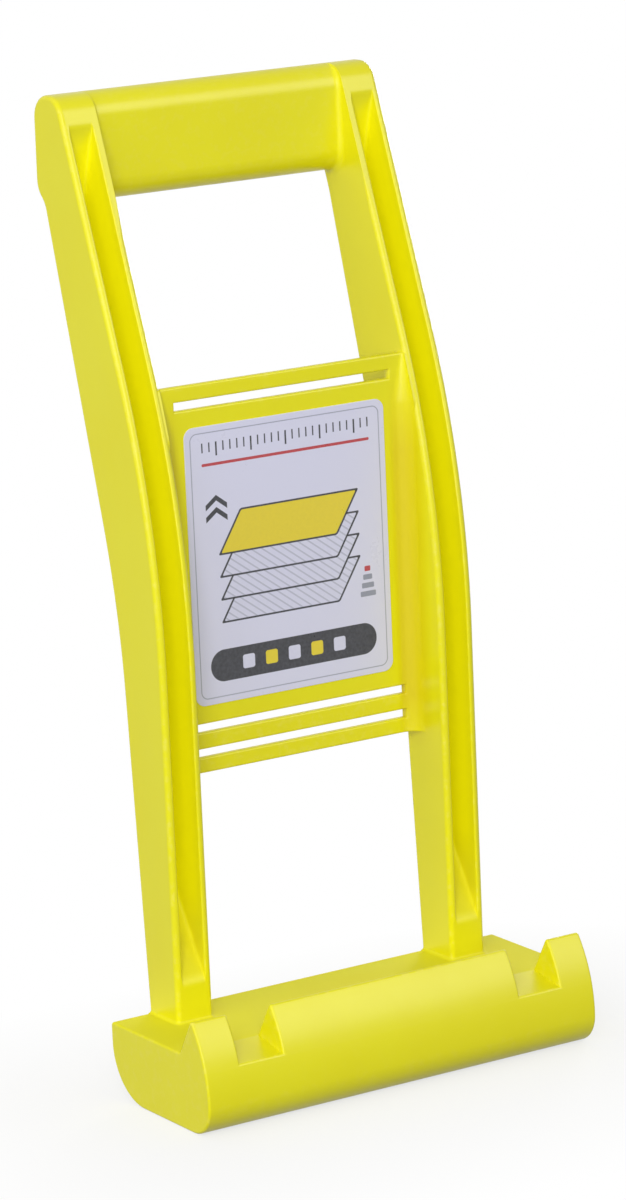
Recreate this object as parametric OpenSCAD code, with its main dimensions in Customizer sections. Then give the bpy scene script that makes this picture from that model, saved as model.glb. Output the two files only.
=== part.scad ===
// Panel carrier: a hand tool that hooks under the edge of a sheet of plywood or plasterboard.
// One person's hand closes round the bar at the top, the sheet stands on the shelf at the foot.
// The real part is one plastic moulding. It is divided here into its walls and members, and each
// of them is a closed solid that meets its neighbours face to face.
// X runs along the sheet, +Y points to the person who carries, Z is up.
// The origin is the middle of the flat on the underside.

/* [Shelf] */
// Length of the shelf along the sheet
shelf_l = 171; // [150:1:220]
// Height of the shelf floor above the underside
shelf_z = 28.5; // [24:0.5:40]
// Depth of the shelf, from its rear edge to the foremost point of its bowed front
shelf_d = 67.5; // [64:0.5:80]
// Clear depth of the floor, from its rear edge to the foot of the lip
floor_d = 48.5; // [42:0.5:52]
// Thickness of the shelf's walls
wall_t = 3.6; // [2.4:0.2:5]
// Radius of the lower front corner
toe_r = 12; // [6:0.5:14]
// Radius of the curve at the rear of the end walls
heel_r = 21; // [12:0.5:23]

/* [Lip] */
// Height of the lip above the floor
lip_h = 13.5; // [8:0.5:18]
// Radius of the bowed front face
bow_r = 52; // [48:1:90]
// Radius of the lip's top edge
lip_tip_r = 1.2; // [0.8:0.1:1.8]
// Clearance of each notch on the inner side of the rail behind it
notch_inner_gap = 1; // [0:0.1:3]
// Clearance of each notch on the outer side of the rail behind it
notch_outer_gap = 2.1; // [0:0.1:4]
// How far the bottom of each notch slopes down to the front
notch_drop = 3.4; // [1:0.1:3.4]

/* [Rails] */
// Width of the frame over both rails
frame_w = 137; // [120:1:145]
// Width of one rail
rail_w = 15.3; // [12:0.1:20]
// Depth of a rail at its foot
rail_foot_d = 20; // [18:0.5:26]
// Height of the bend in a rail's front edge, above the floor
front_knee_h = 186; // [160:1:200]
// Height of the bend in a rail's rear edge, above the floor
rear_knee_h = 151; // [130:1:165]
// How far the rear edge has moved back at its bend
rear_knee_y = 8.5; // [4:0.5:12]
// Radius of the bend in the front edge
front_knee_r = 330; // [60:10:400]
// Radius of the bend in the rear edge
rear_knee_r = 320; // [100:10:400]
// Thickness of a rail's side flanges
flange_t = 2.8; // [2.4:0.2:5]
// Thickness of the web at the back of a rail
web_t = 4; // [2.5:0.1:6]
// Height above the floor at which the groove begins
groove_low_h = 14; // [6:1:30]
// Length of the groove's shallow run-out at its foot
groove_low_run = 34; // [20:1:60]
// Length of the ramp on which the groove runs out at the handle
groove_top_run = 38; // [20:1:60]
// Distance of the groove's upper end below the top of the carrier
groove_tip_gap = 10; // [8:0.5:30]

/* [Handle] */
// Overall height of the carrier
overall_h = 365; // [340:1:400]
// Height of the handle bar
bar_h = 40; // [34:0.5:48]
// Thickness of the handle bar
bar_t = 17.5; // [14:0.5:22]
// Distance of the bar's front face behind the rear edge of the shelf
bar_back = 34; // [24:1:44]
// How far the tops of the rails stand proud of the bar's front face
rail_proud = 2.5; // [0:0.1:4]

/* [Label plate] */
// Height of the plate's lower edge above the floor
plate_low_h = 87; // [60:1:100]
// Height of the plate
plate_h = 145; // [120:1:145]
// Thickness of the plate
plate_t = 3; // [2.4:0.2:5]
// Distance of the plate's front face behind the front of the rail's foot
plate_in = 18; // [12:0.5:20]
// Radius of the fillet between the plate and each rail
plate_fillet = 6.5; // [2:0.5:8]
// Height of each slot
slot_h = 3.2; // [2:0.2:5]
// Distance of the upper slot's ends from the rails
upper_slot_in = 6.6; // [4:0.2:15]
// Distance of the lower slots' ends from the rails
lower_slot_in = 4.6; // [4:0.2:15]
// Height of the bar above the upper slot
upper_bar_h = 5.8; // [4:0.2:10]
// Height of the bar between the lower slots
middle_bar_h = 6.2; // [4:0.2:10]
// Height of the bar below the lower slots
lower_bar_h = 5.8; // [4:0.2:10]

/* [Label] */
// Width of the adhesive label
label_w = 87; // [70:1:89]
// Height of the adhesive label
label_h = 104; // [80:1:108]
// Thickness of the adhesive label
label_t = 0.3; // [0.2:0.05:0.5]
// Radius of the label's corners
label_r = 4; // [1:0.5:8]

/* [Ribs] */
// Thickness of the ribs under the floor
rib_t = 2.6; // [1.6:0.2:4]
// Number of ribs between the rails
rib_count = 3; // [1:1:5]

/* [Hidden] */
$fn = 96;
// Overrun of every cut
over = 1;
// Facets of a full circle as large as a bend in a rail
bend_fn = 720;
body_yellow = [0.95, 0.83, 0.06];
label_white = [0.83, 0.82, 0.89];

// Reach of the lip's wedge in front of the clear floor
lip_d = shelf_d - floor_d;
// The flat on the underside runs from flat_front to flat_rear
flat_front = -shelf_d + toe_r;
flat_rear = -heel_r;
flat_mid = (flat_front + flat_rear) / 2;
// Centre of the bowed front face, level with the top of the corner curve
bow_y = -shelf_d + bow_r;
bow_z = toe_r;
// Room between the end walls
bay_l = shelf_l - 2 * wall_t;
inner_half = frame_w / 2 - rail_w;
// Middle of a rail's width
rail_mid = frame_w / 2 - rail_w / 2;
// The notches in the lip stand in front of the rails
notch_inner = inner_half - notch_inner_gap;
notch_outer = frame_w / 2 + notch_outer_gap;
notch_l = notch_outer - notch_inner;
notch_mid = (notch_inner + notch_outer) / 2;
bar_r = bar_t / 2;
bar_mid_y = bar_back + bar_r;
bar_low_z = overall_h - bar_h + bar_r;
bar_high_z = overall_h - bar_r;
// The head of a rail follows the bar's curves at the top and rear, and has a like curve further forward
head_y = bar_mid_y - rail_proud;
head_z = bar_high_z;
// Direction in which the rear edge meets the underside of the bar
rear_meet_a = -63;
groove_w = rail_w - 2 * flange_t;
// Height at which the groove's ramp reaches the front edge
tip_z = overall_h - groove_tip_gap;
// The label plate
plate_y = -rail_foot_d + plate_in;
plate_z = shelf_z + plate_low_h;
plate_l = 2 * inner_half;
// Lower edges of the lower slots and of the upper slot
lower_slot_zs = [plate_z + lower_bar_h, plate_z + lower_bar_h + slot_h + middle_bar_h];
upper_slot_z = plate_z + plate_h - upper_bar_h - slot_h;
// The label lies midway between the lower slots and the upper slot
label_z = (lower_slot_zs[1] + slot_h + upper_slot_z) / 2;
// The fillet beside the plate leaves a gap to the label
label_gap = 0.5;
fillet_r = min(plate_fillet, (plate_l - label_w) / 2 - label_gap);
// Ribs: one under each flange of both rails, and rib_count between the rails
flange_rib_xs = [for (s = [-1, 1], x = [frame_w / 2 - flange_t / 2, inner_half + flange_t / 2]) s * x];
middle_rib_xs = [for (i = [1 : rib_count]) inner_half * (2 * i / (rib_count + 1) - 1)];

// Unit vector at angle a
function dir(a) = [cos(a), sin(a)];
function unit(v) = v / norm(v);
// Rounding of corner b of the path a, b, c with radius r: where the arc begins, and its centre
function half_angle(a, b, c) = acos(unit(a - b) * unit(c - b)) / 2;
function bend_start(a, b, c, r) = b + unit(a - b) * r / tan(half_angle(a, b, c));
function bend_center(a, b, c, r) = b + unit(unit(a - b) + unit(c - b)) * r / sin(half_angle(a, b, c));

// Corners of a rail's side outline, as [y, z]
front_foot = [-rail_foot_d, shelf_z];
front_knee = [-rail_foot_d, shelf_z + front_knee_h];
// The front edge runs on as a tangent of the rounded head
to_head = [head_y, head_z] - front_knee;
front_lean = atan2(to_head[1], to_head[0]) + asin(bar_r / norm(to_head));
front_top = front_knee + dir(front_lean) * (overall_h - front_knee[1]) / sin(front_lean);
rear_top = [bar_back + bar_t, overall_h];
rear_low = [bar_back + bar_t, bar_low_z + bar_r * tan(rear_meet_a / 2)];
rear_head = [bar_mid_y, bar_low_z] + bar_r * dir(rear_meet_a);
rear_knee = [rear_knee_y, shelf_z + rear_knee_h];
rear_foot = [0, shelf_z];
// The bend of the rear edge
rear_bend_high = bend_start(rear_head, rear_knee, rear_foot, rear_knee_r);
rear_bend_low = bend_start(rear_foot, rear_knee, rear_head, rear_knee_r);
rear_bend_mid = bend_center(rear_foot, rear_knee, rear_head, rear_knee_r);

// Stands a side outline, drawn as [y, z], up along X and centres its length on x
module along(length, x = 0) {
    translate([x - length / 2, 0, 0]) rotate([90, 0, 90]) linear_extrude(length) children();
}
// Moves a piece so that the middle of the underside is the origin
module seat() { translate([0, -flat_mid, 0]) children(); }
module body() { color(body_yellow) seat() children(); }

// Section of the handle bar: an upright stadium
module bar_outline() {
    for (z = [bar_low_z, bar_high_z]) translate([bar_mid_y, z]) circle(bar_r);
    translate([bar_back, bar_low_z]) square([bar_t, bar_high_z - bar_low_z]);
}
// What is taken off when corner b of the path a, b, c is rounded with radius r
module bend_cut(a, b, c, r) {
    from = bend_start(a, b, c, r);
    to = bend_start(c, b, a, r);
    away = 2 * b - from - to;
    difference() {
        polygon([from, to, to + away, from + away]);
        translate(bend_center(a, b, c, r)) circle(r, $fn = bend_fn);
    }
}
module rear_bend() { translate(rear_bend_mid) circle(rear_knee_r, $fn = bend_fn); }
// Side outline of a rail: a bent, tapering blade with a rounded head that closes the end of the bar
module rail_outline() {
    difference() {
        polygon([front_foot, front_knee, front_top, rear_top, rear_low, rear_head,
                 rear_bend_high, rear_bend_low, rear_foot]);
        bend_cut(front_foot, front_knee, front_top, front_knee_r);
        bend_cut(front_knee, front_top, rear_top, bar_r);
        bend_cut(front_top, rear_top, rear_low, bar_r);
        bend_cut(rear_top, rear_low, rear_head, bar_r);
        rear_bend();
    }
}
// Side outline of the groove. Its floor follows the rear edge and rises to the front edge at both ends
module groove_outline() {
    web = [web_t, 0];
    low = [-rail_foot_d, shelf_z + groove_low_h];
    low_end_z = low[1] + groove_low_run;
    top_end_z = tip_z - groove_top_run;
    tip = front_knee + dir(front_lean) * (tip_z - front_knee[1]) / sin(front_lean);
    low_end = rear_foot + (rear_knee - rear_foot) * (low_end_z - shelf_z) / rear_knee_h;
    upper = rear_head - rear_knee;
    top_end = rear_knee + upper * (top_end_z - rear_knee[1]) / upper[1];
    reach = [bar_back + rail_foot_d, 0];
    difference() {
        polygon([low, low_end - web, rear_bend_low - web, rear_bend_high - web, top_end - web,
                 tip, tip - reach, low - reach]);
        translate(-web) rear_bend();
    }
}
module rail(x) {
    difference() {
        along(rail_w, x) rail_outline();
        along(groove_w, x) groove_outline();
    }
}

// Front of the shelf's section: the bowed face with the rounded lower corner
module shelf_front_outline(inset = 0) {
    intersection() {
        translate([bow_y, bow_z]) circle(bow_r - inset);
        translate([bow_y - bow_r, bow_z]) square([2 * bow_r, 2 * bow_r]);
    }
    translate([flat_front, toe_r]) circle(toe_r - inset);
    translate([flat_front, inset]) square([-flat_front, toe_r - inset]);
}
// Whole section of the shelf below floor level, with the curved heel
module shelf_outline(inset = 0) {
    intersection() {
        shelf_front_outline(inset);
        union() {
            intersection() {
                translate([-heel_r, heel_r]) circle(heel_r);
                translate([-heel_r, 0]) square(heel_r);
            }
            translate([-shelf_d, heel_r]) square([shelf_d, shelf_z - heel_r]);
            translate([-shelf_d, 0]) square([shelf_d - heel_r, shelf_z]);
        }
    }
}
// A level slice of the section, between two heights
module level(low, high) {
    translate([-shelf_d - over, low]) square([shelf_d + 2 * over, high - low]);
}
// Section of the lip: a wedge whose inner face leans outward and whose top edge is round
module lip_outline() {
    tip_z = shelf_z + lip_h - lip_tip_r;
    bow = bow_r - lip_tip_r;
    tip = [bow_y - sqrt(bow * bow - (tip_z - bow_z) * (tip_z - bow_z)), tip_z];
    foot = [-floor_d, shelf_z];
    reach = norm(tip - foot);
    lean = atan2(tip[1] - foot[1], tip[0] - foot[0]) - asin(lip_tip_r / reach);
    inner = foot + sqrt(reach * reach - lip_tip_r * lip_tip_r) * dir(lean);
    out = unit(tip - [bow_y, bow_z]);
    intersection() {
        translate([bow_y, bow_z]) circle(bow_r);
        polygon([foot, inner, tip, tip + out * lip_d, [-shelf_d - lip_d, shelf_z]]);
    }
    translate(tip) circle(lip_tip_r);
}
module lip(from, to) { along(to - from, (from + to) / 2) lip_outline(); }

// Rounded bar that the hand closes round
module handle_bar() { body() along(plate_l) bar_outline(); }
module left_rail() { body() rail(-rail_mid); }
module right_rail() { body() rail(rail_mid); }

// Fillet between the plate and the rail on side s. It runs out where the rail's front edge leans back
module plate_corner(s) {
    difference() {
        translate([s * (inner_half - fillet_r / 2) - fillet_r / 2, plate_y - fillet_r, plate_z])
            cube([fillet_r, fillet_r, plate_h]);
        translate([s * (inner_half - fillet_r), plate_y - fillet_r, plate_z - over])
            cylinder(r = fillet_r, h = plate_h + 2 * over);
    }
}
// Cut for a slot whose lower edge is at z, with its ends a distance away from the rails
module slot(z, ends_in) {
    translate([ends_in - inner_half, plate_y - over, z])
        cube([plate_l - 2 * ends_in, plate_t + 2 * over, slot_h]);
}
// Panel between the rails with one slot near the top and two near the bottom
module label_plate() {
    body() difference() {
        union() {
            translate([-inner_half, plate_y, plate_z]) cube([plate_l, plate_t, plate_h]);
            intersection() {
                for (s = [-1, 1]) plate_corner(s);
                along(plate_l) rail_outline();
            }
        }
        slot(upper_slot_z, upper_slot_in);
        for (z = lower_slot_zs) slot(z, lower_slot_in);
    }
}
module label() {
    color(label_white) seat() translate([0, plate_y, label_z]) rotate([90, 0, 0])
        linear_extrude(label_t) {
            square([label_w - 2 * label_r, label_h], center = true);
            square([label_w, label_h - 2 * label_r], center = true);
            for (sx = [-1, 1], sz = [-1, 1])
                translate([sx * (label_w / 2 - label_r), sz * (label_h / 2 - label_r)]) circle(label_r);
        }
}
// Side outline of what the bottom of a notch takes from the floor: a slope from the lip's foot to the front
module notch_outline() {
    polygon([[-floor_d, shelf_z], [-shelf_d, shelf_z - notch_drop],
             [-shelf_d, shelf_z + over], [-floor_d, shelf_z + over]]);
}
module shelf_floor() {
    body() difference() {
        along(bay_l) intersection() { shelf_outline(); level(shelf_z - wall_t, shelf_z); }
        for (s = [-1, 1]) along(notch_l, s * notch_mid) notch_outline();
    }
}
module left_lip() { body() lip(-shelf_l / 2, -notch_outer); }
module center_lip() { body() lip(-notch_inner, notch_inner); }
module right_lip() { body() lip(notch_outer, shelf_l / 2); }
module front_wall() {
    body() along(bay_l) intersection() {
        difference() { shelf_outline(); shelf_front_outline(wall_t); }
        translate([-shelf_d - over, 0]) square([shelf_d + flat_front + over, shelf_z - wall_t]);
    }
}
module bottom_wall() {
    body() along(bay_l) intersection() {
        shelf_outline();
        translate([flat_front, 0]) square([-flat_front, wall_t]);
    }
}
module end_wall(x) { along(wall_t, x) shelf_outline(); }
module left_end_wall() { body() end_wall(-shelf_l / 2 + wall_t / 2); }
module right_end_wall() { body() end_wall(shelf_l / 2 - wall_t / 2); }
// Ribs that carry the floor, open to the rear like the whole underside
module shelf_ribs() {
    body() for (x = concat(flange_rib_xs, middle_rib_xs)) along(rib_t, x) intersection() {
        shelf_outline(wall_t);
        level(wall_t, shelf_z - wall_t);
    }
}

handle_bar();
left_rail();
right_rail();
label_plate();
label();
shelf_floor();
left_lip();
center_lip();
right_lip();
front_wall();
bottom_wall();
left_end_wall();
right_end_wall();
shelf_ribs();
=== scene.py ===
"""Panel carrier: the moulding, its label and a plain studio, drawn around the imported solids."""
import math

import bmesh
import bpy
import numpy as np
from bpy.props import FloatProperty, FloatVectorProperty, IntProperty, PointerProperty
from mathutils import Matrix, Vector


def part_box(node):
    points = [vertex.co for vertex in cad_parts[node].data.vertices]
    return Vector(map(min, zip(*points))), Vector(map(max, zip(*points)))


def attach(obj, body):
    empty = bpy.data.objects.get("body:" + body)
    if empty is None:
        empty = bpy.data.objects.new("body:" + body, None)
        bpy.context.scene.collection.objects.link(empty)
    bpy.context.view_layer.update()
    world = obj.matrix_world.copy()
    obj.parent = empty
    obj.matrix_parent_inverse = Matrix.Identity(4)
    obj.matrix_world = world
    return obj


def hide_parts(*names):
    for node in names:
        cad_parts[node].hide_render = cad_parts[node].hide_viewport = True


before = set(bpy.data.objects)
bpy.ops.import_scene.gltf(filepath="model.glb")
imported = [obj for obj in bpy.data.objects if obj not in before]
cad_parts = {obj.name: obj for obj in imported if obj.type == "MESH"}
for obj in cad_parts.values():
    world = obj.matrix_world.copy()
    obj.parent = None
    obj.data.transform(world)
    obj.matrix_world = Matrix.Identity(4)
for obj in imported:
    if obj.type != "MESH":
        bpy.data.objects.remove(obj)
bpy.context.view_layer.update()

bl_info = {
    "name": "Panel carrier",
    "version": (1, 0, 0),
    "blender": (4, 5, 0),
    "location": "View3D > Sidebar > Carrier",
    "description": "Builds the moulding, the label and the studio of a hand carrier for sheet panels",
    "category": "Add Mesh",
}

MM = 0.001
X, Y, Z = 0, 1, 2
QUARTER = math.pi / 2


def low(node, axis):
    """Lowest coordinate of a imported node."""
    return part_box(node)[0][axis]


def high(node, axis):
    """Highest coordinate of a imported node."""
    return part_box(node)[1][axis]


def length(name, description, default):
    """A length property in metres."""
    return FloatProperty(name=name, description=description, default=default, unit="LENGTH", precision=5)


def number(name, description, default):
    """A plain number property."""
    return FloatProperty(name=name, description=description, default=default, precision=4)


def angle(name, description, degrees):
    """An angle property, kept in radians."""
    return FloatProperty(name=name, description=description, default=math.radians(degrees), unit="ROTATION")


def colour(name, description, default):
    """A linear colour property."""
    return FloatVectorProperty(name=name, description=description, default=default, subtype="COLOR",
                               min=0.0, max=1.0, size=3)


# Sizes and colours

class RailSizes(bpy.types.PropertyGroup):
    """The two bent channel rails."""
    inner: length("Inner face", "Distance of a rail's inner face from the middle", low("right_rail", X))
    outer: length("Outer face", "Distance of a rail's outer face from the middle", high("right_rail", X))
    foot_front: length("Foot front", "Where the front edge stands on the floor", low("right_rail", Y))
    foot_rear: length("Foot rear", "Where the rear edge stands on the floor", high("shelf_floor", Y))
    back: length("Head rear", "Rearmost line of the head", high("right_rail", Y))
    floor: length("Floor height", "Height of the shelf's floor", low("right_rail", Z))
    top: length("Top", "Height of the head", high("handle_bar", Z))
    front_knee: length("Front knee", "Height of the bend in the front edge", 214.5 * MM)
    front_bend: length("Front bend", "Radius of the bend in the front edge", 330 * MM)
    rear_knee: length("Rear knee", "Height of the bend in the rear edge", 179.5 * MM)
    rear_knee_back: length("Rear knee offset", "How far the rear bend lies behind the foot", 8.5 * MM)
    rear_bend: length("Rear bend", "Radius of the bend in the rear edge", 320 * MM)
    proud: length("Proud", "How far the heads stand in front of the bar's face", 2.5 * MM)
    flange: length("Flange", "Thickness of the groove's side walls", 2.8 * MM)
    web: length("Web", "Thickness of the wall behind the groove", 4 * MM)
    groove_low: length("Groove low end", "Height where the groove starts to sink in", 42.5 * MM)
    groove_deep: length("Groove deep", "Height where the groove reaches the web", 76.5 * MM)
    groove_ramp: length("Groove ramp", "Height where the groove's floor starts to rise", 317 * MM)
    groove_tip: length("Groove tip", "Height where the groove's floor reaches the front edge", 355 * MM)
    edge: length("Front edge", "Rounding of the front edges", 1.7 * MM)
    rear_edge: length("Rear edge", "Rounding of the rear edges", 1.0 * MM)
    groove_edge: length("Groove edge", "Rounding of the groove's rim", 0.7 * MM)
    groove_fillet: length("Groove fillet", "Rounding in the groove's floor", 1.4 * MM)
    foot_fillet: length("Foot fillet", "Rounding where a rail meets the floor", 1.2 * MM)
    rows: IntProperty(name="Rows", description="Cross sections along one edge of a rail", default=300, min=80)


class HandleSizes(bpy.types.PropertyGroup):
    """The grip bar."""
    front: length("Front", "Front face", low("handle_bar", Y))
    back: length("Rear", "Rear face", high("handle_bar", Y))
    bottom: length("Bottom", "Lowest line", low("handle_bar", Z))
    top: length("Top", "Highest line", high("handle_bar", Z))
    fillet: length("End fillet", "Rounding where the bar meets a rail", 2.2 * MM)


class PlateSizes(bpy.types.PropertyGroup):
    """The slotted plate that carries the label."""
    front: length("Front", "Front face", low("label", Y) + 0.3 * MM)
    back: length("Rear", "Rear face", low("label", Y) + 3.3 * MM)
    bottom: length("Bottom", "Lower edge", low("label_plate", Z))
    top: length("Top", "Upper edge", high("label_plate", Z))
    fillet: length("Fillet", "Rounding where the plate meets a rail", 6.5 * MM)
    rear_fillet: length("Rear fillet", "Rounding where the plate's rear meets a rail", 2 * MM)
    edge: length("Edge", "Rounding of the plate's and the slots' edges", 0.75 * MM)
    slot: length("Slot height", "Height of each slot", 3.2 * MM)
    bar: length("Bar height", "Height of the bar below the lowest slot", 5.8 * MM)
    middle_bar: length("Middle bar", "Height of the bar between the lower slots", 6.2 * MM)
    top_bar: length("Top bar", "Height of the bar above the upper slot", 5.8 * MM)
    lower_half: length("Lower slots", "Half length of the lower slots", 48.6 * MM)
    upper_half: length("Upper slot", "Half length of the upper slot", 46.6 * MM)


class ShelfSizes(bpy.types.PropertyGroup):
    """The shelf with its notched lip."""
    end: length("End", "Distance of the outer end faces from the middle", high("right_end_wall", X))
    bay: length("Bay", "Distance of the end walls' inner faces from the middle", low("right_end_wall", X))
    front: length("Front", "Foremost line of the bowed wall", low("front_wall", Y))
    rear: length("Rear", "Rear edge of the floor", high("shelf_floor", Y))
    floor: length("Floor", "Height of the floor", high("shelf_floor", Z))
    lip_foot: length("Lip foot", "Where the lip rises from the floor", high("center_lip", Y))
    lip_top: length("Lip top", "Height of the lip", high("center_lip", Z))
    lip_tip: length("Lip tip", "Rounding of the lip's top", 1.2 * MM)
    lip_fillet: length("Lip fillet", "Rounding where the lip meets the floor", 1.2 * MM)
    notch_inner: length("Notch, inner end", "Where a notch starts", high("center_lip", X))
    notch_outer: length("Notch, outer end", "Where a notch ends", low("right_lip", X))
    notch_slope: number("Notch slope", "Fall of a notch's bottom towards the front", 3.4 / 19)
    bow: length("Bow", "Radius of the bowed front", 52 * MM)
    toe: length("Toe", "Radius of the lower front corner", 12 * MM)
    heel: length("Heel", "Radius of the end walls' lower rear corner", 21 * MM)
    wall: length("Wall", "Thickness of the walls", 3.6 * MM)
    edge: length("Edge", "Rounding of the end edges", 0.95 * MM)
    rib: length("Rib", "Thickness of a rib", 2.6 * MM)
    ribs: IntProperty(name="Middle ribs", description="Ribs between the rails", default=3, min=0)


class LabelSizes(bpy.types.PropertyGroup):
    """The adhesive label."""
    half: length("Half width", "Half the label's width", high("label", X))
    bottom: length("Bottom", "Lower edge", low("label", Z))
    top: length("Top", "Upper edge", high("label", Z))
    front: length("Front", "Face of the film", low("label", Y))
    thickness: length("Thickness", "Thickness of the film", 0.3 * MM)
    corner: length("Corner", "Radius of the corners", 4 * MM)


class Finishes(bpy.types.PropertyGroup):
    """Colours of the plastic, of the painted light and shade on it, and of the print."""
    yellow: colour("Yellow", "The moulding's colour", (0.815, 0.768, 0.005))
    deep: colour("Deep yellow", "Where the colour lies thicker", (0.795, 0.728, 0.004))
    # Painted bounce light: the grooves' walls are made lighter and warmer than the plastic is.
    painted_bounce_light: colour("Warm yellow", "In hollows, where light comes back many times", (0.940, 0.880, 0.003))
    # Painted shade for the nooks beside the plate and the foot of the grooves; the plastic itself is no
    # darker there.
    painted_shade: colour("Amber", "In nooks, where colour lies thickest", (0.660, 0.530, 0.003))
    # Painted glow: an emission that brightens the grooves in place of light reaching them.
    glow: colour("Glow", "Light that comes through the thin walls into a groove", (0.052, 0.058, 0.000))
    scuff: colour("Scuff", "Scuffed edges", (0.880, 0.800, 0.180))
    film: colour("Film", "Ground of the label", (0.688, 0.689, 0.856))
    charcoal: colour("Charcoal", "Dark print", (0.016, 0.017, 0.022))
    print_yellow: colour("Print yellow", "Yellow print", (0.800, 0.640, 0.030))
    grey: colour("Grey", "Grey print", (0.270, 0.285, 0.360))
    red: colour("Red", "Small accents", (0.480, 0.030, 0.035))
    roughness: number("Roughness", "Mean roughness of the plastic", 0.34)
    gloss: number("Gloss", "Strength of the plastic's reflections", 0.36)


class StudioSetup(bpy.types.PropertyGroup):
    """Camera, lamps and floor."""
    aim: FloatVectorProperty(name="Aim", description="Point in the middle of the frame", size=3,
                             unit="LENGTH", default=(0.0, 0.02178, 0.17685))
    distance: length("Distance", "Camera to aim", 1.81217)
    azimuth: angle("Azimuth", "Turn of the view from straight on", 32.390)
    elevation: angle("Elevation", "How far the camera looks down", 12.7795)
    roll: angle("Roll", "Tilt of the camera about its view", -2.4627)
    lens: number("Lens", "Focal length for a frame 36 mm high", 147.92)
    world: number("World", "Strength of the even light", 0.45)
    rear: number("Rear", "Power of the lamp behind on the right in watts", 15.0)
    sheen: number("Sheen", "Power of the lamp that only gives highlights, in watts", 17.5)
    front: number("Front", "Power of the front lamp in watts", 30.5)
    side: number("Side", "Power of the lamp on the left in watts", 11.0)
    floor: colour("Floor", "Colour of the floor", (0.25, 0.25, 0.25))


class CarrierSettings(bpy.types.PropertyGroup):
    """Everything a user would change."""
    rail: PointerProperty(type=RailSizes)
    handle: PointerProperty(type=HandleSizes)
    plate: PointerProperty(type=PlateSizes)
    shelf: PointerProperty(type=ShelfSizes)
    label: PointerProperty(type=LabelSizes)
    finish: PointerProperty(type=Finishes)
    studio: PointerProperty(type=StudioSetup)


# Curves in the plane

def unit(vectors):
    """Vectors divided by their lengths."""
    return vectors / np.maximum(np.linalg.norm(vectors, axis=-1, keepdims=True), 1e-12)


def at(*values):
    """A point as an array."""
    return np.array(values, float)


def arc(centre, radius, start, end, steps=24):
    """Points of a circle: centre + radius * (cos, sin) from the start to the end angle in degrees."""
    turn = np.radians(np.linspace(start, end, steps + 1))
    return centre + radius * np.stack([np.cos(turn), np.sin(turn)], -1)


def corner_arc(before, corner, after, radius, steps=8):
    """Arc that rounds a corner: its centre lies on the bisector, radius / sin(half the corner's angle)
    away, and it runs between the points where the circle touches the two legs."""
    one, two = unit(before - corner), unit(after - corner)
    half = math.acos(float(np.clip(one @ two, -1, 1))) / 2
    centre = corner + unit(one + two) * radius / math.sin(half)
    first = corner + one * radius / math.tan(half) - centre
    last = corner + two * radius / math.tan(half) - centre
    start = math.atan2(first[1], first[0])
    sweep = (math.atan2(last[1], last[0]) - start + math.pi) % (2 * math.pi) - math.pi
    turn = start + sweep * np.linspace(0, 1, steps + 1)
    return centre + radius * np.stack([np.cos(turn), np.sin(turn)], -1)


def rounded_path(corners, radii, steps=24):
    """Path through the corners, each of them rounded by its own radius; 0 keeps a corner sharp."""
    parts = [corner_arc(corners[i - 1], corner, corners[i + 1], radius, steps) if radius else corner[None]
             for i, (corner, radius) in enumerate(zip(corners, radii))]
    return np.concatenate(parts)


def refine(path, step, closed=False):
    """The path with points added on its long legs: each leg is cut into equal parts no longer than the
    step."""
    ends = np.roll(path, -1, axis=0) if closed else path[1:]
    starts = path if closed else path[:-1]
    parts = np.maximum(1, np.ceil(np.linalg.norm(ends - starts, axis=1) / step - 1e-6)).astype(int)
    leg = np.repeat(np.arange(len(parts)), parts)
    share = (np.arange(parts.sum()) - np.repeat(np.cumsum(parts) - parts, parts)) / parts[leg]
    points = starts[leg] + (ends - starts)[leg] * share[:, None]
    return points if closed else np.concatenate([points, path[-1:]])


def paced(path, count, step, turn):
    """count points along a path: they are even in the sum of length / step and turning / turn, so bends
    get more."""
    legs = np.diff(path, axis=0)
    heading = np.unwrap(np.arctan2(legs[:, 1], legs[:, 0]))
    bend = np.abs(np.diff(heading, prepend=heading[:1]))
    pace = np.concatenate([[0.0], np.cumsum(np.linalg.norm(legs, axis=1) / step + bend / math.radians(turn))])
    where = np.linspace(0, pace[-1], count)
    return np.stack([np.interp(where, pace, path[:, 0]), np.interp(where, pace, path[:, 1])], -1)


def headings(path):
    """Unit directions along an open path, from the points on either side of each point."""
    return unit(np.gradient(path, axis=0))


def inward(loop):
    """Unit normals of a closed counter-clockwise outline that point into it."""
    along = unit(np.roll(loop, -1, axis=0) - loop)
    mean = unit(along + np.roll(along, 1, axis=0))
    return np.stack([-mean[:, 1], mean[:, 0]], -1)


def crispness(loop, radius=2.5 * MM):
    """1 where a closed counter-clockwise outline turns outwards more tightly than the radius, 0 where it
    is straight."""
    legs = np.roll(loop, -1, axis=0) - loop
    before = np.roll(legs, 1, axis=0)
    cross = before[:, 0] * legs[:, 1] - before[:, 1] * legs[:, 0]
    turn = np.arctan2(cross, (before * legs).sum(1))
    mean = (np.linalg.norm(legs, axis=1) + np.linalg.norm(before, axis=1)) / 2
    return np.clip(turn / mean * radius * 1.2, 0, 1)


def depth_inside(points, outline):
    """Distance of each point from the nearest leg of a closed outline."""
    start = outline[None]
    leg = np.roll(outline, -1, axis=0)[None] - start
    offset = points[:, None] - start
    share = np.clip((offset * leg).sum(-1) / np.maximum((leg * leg).sum(-1), 1e-18), 0, 1)
    return np.linalg.norm(offset - leg * share[..., None], axis=-1).min(1)


# Meshes

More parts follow.
